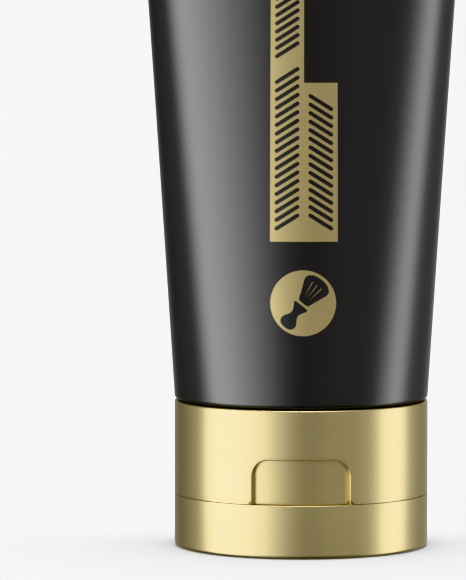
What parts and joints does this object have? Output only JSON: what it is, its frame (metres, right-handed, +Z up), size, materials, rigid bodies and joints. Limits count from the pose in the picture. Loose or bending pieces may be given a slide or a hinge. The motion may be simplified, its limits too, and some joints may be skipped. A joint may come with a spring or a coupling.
{
  "type": "shaving cream tube",
  "caption": "Soft squeeze tube with a flat crimped end, standing on a flush round flip-top cap with a thumb recess, a film hinge and a plugged spout.",
  "frame": {"origin": "centre of the lid's flat standing face", "axes": "+Z up the tube, +X along the flat crimp, +Y towards the lid's hinge, so the thumb recess and the printed panel face -Y"},
  "size_m": [0.0626, 0.04, 0.1826],
  "materials": {
    "black_laminate": "satin black laminate film, smooth, with a soft sheen",
    "black_moulding": "as-moulded black polypropylene",
    "cream": "soft white shaving cream",
    "gold_foil": "hot-stamped pale gold foil, satin",
    "gold_shell": "vacuum-metallised pale gold plastic, satin lacquer"
  },
  "bodies": {
    "tube": {"tube_sleeve": "black_laminate", "tube_head": "black_moulding", "shaving_cream": "cream", "front_panel_foil": "gold_foil", "badge_foil": "gold_foil", "cap_shell": "gold_shell", "cap_body": "black_moulding", "hinge_film": "black_moulding", "hinge_strap_left": "black_moulding", "hinge_strap_right": "black_moulding"},
    "lid": {"lid_shell": "gold_shell", "lid_body": "black_moulding"}
  },
  "joints": [
    {"name": "lid_hinge", "type": "hinge", "parent": "tube", "child": "lid", "pos_m": [0, 0.01823, 0.0087], "axis": [1, 0, 0], "range_deg": [0, 120], "deforming": ["hinge_film", "hinge_strap_left", "hinge_strap_right"]}
  ]
}
